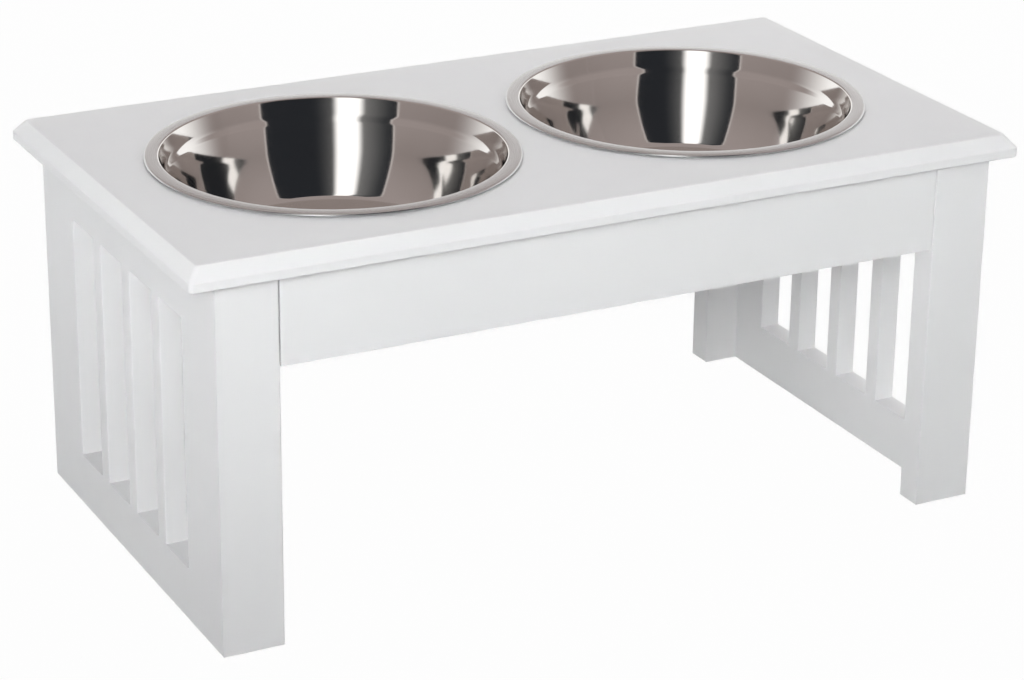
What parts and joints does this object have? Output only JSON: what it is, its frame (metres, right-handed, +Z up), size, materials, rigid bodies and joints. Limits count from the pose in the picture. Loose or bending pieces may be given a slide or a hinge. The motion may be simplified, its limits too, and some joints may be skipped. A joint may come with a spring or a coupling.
{
  "type": "dog feeder stand",
  "caption": "Raised feeder stand for a dog: a bevelled white top board on slatted end frames, with round steel bowls that hang by their rims and lift out.",
  "frame": {"origin": "on the floor under the middle of the stand", "axes": "+X along the stand towards its right end, +Y towards its back, +Z up"},
  "size_m": [0.587, 0.318, 0.2624],
  "materials": {
    "painted_wood": "satin white paint",
    "bowl_steel": "polished stainless steel",
    "beech": "bare beech",
    "zinc_steel": "bright zinc plate"
  },
  "bodies": {
    "stand": {"top_board": "painted_wood", "front_apron": "painted_wood", "back_apron": "painted_wood", "front_left_leg": "painted_wood", "back_left_leg": "painted_wood", "front_right_leg": "painted_wood", "back_right_leg": "painted_wood", "left_top_rail": "painted_wood", "right_top_rail": "painted_wood", "left_bottom_rail": "painted_wood", "right_bottom_rail": "painted_wood", "left_front_stile": "painted_wood", "left_back_stile": "painted_wood", "right_front_stile": "painted_wood", "right_back_stile": "painted_wood", "left_front_slat": "painted_wood", "left_middle_slat": "painted_wood", "left_back_slat": "painted_wood", "right_front_slat": "painted_wood", "right_middle_slat": "painted_wood", "right_back_slat": "painted_wood", "left_rail_dowels": "beech", "right_rail_dowels": "beech", "left_slat_dowels": "beech", "right_slat_dowels": "beech", "apron_dowels": "beech", "cam_bolts": "zinc_steel", "cam_locks": "zinc_steel", "corner_brackets": "zinc_steel", "apron_brackets": "zinc_steel", "bracket_frame_screws": "zinc_steel", "bracket_top_screws": "zinc_steel"},
    "left_bowl": {"left_bowl": "bowl_steel"},
    "right_bowl": {"right_bowl": "bowl_steel"}
  },
  "joints": [
    {"name": "left_bowl_lift", "type": "slide", "parent": "stand", "child": "left_bowl", "axis": [0, 0, 1], "range_m": [0, 0.1]},
    {"name": "right_bowl_lift", "type": "slide", "parent": "stand", "child": "right_bowl", "axis": [0, 0, 1], "range_m": [0, 0.1]}
  ]
}
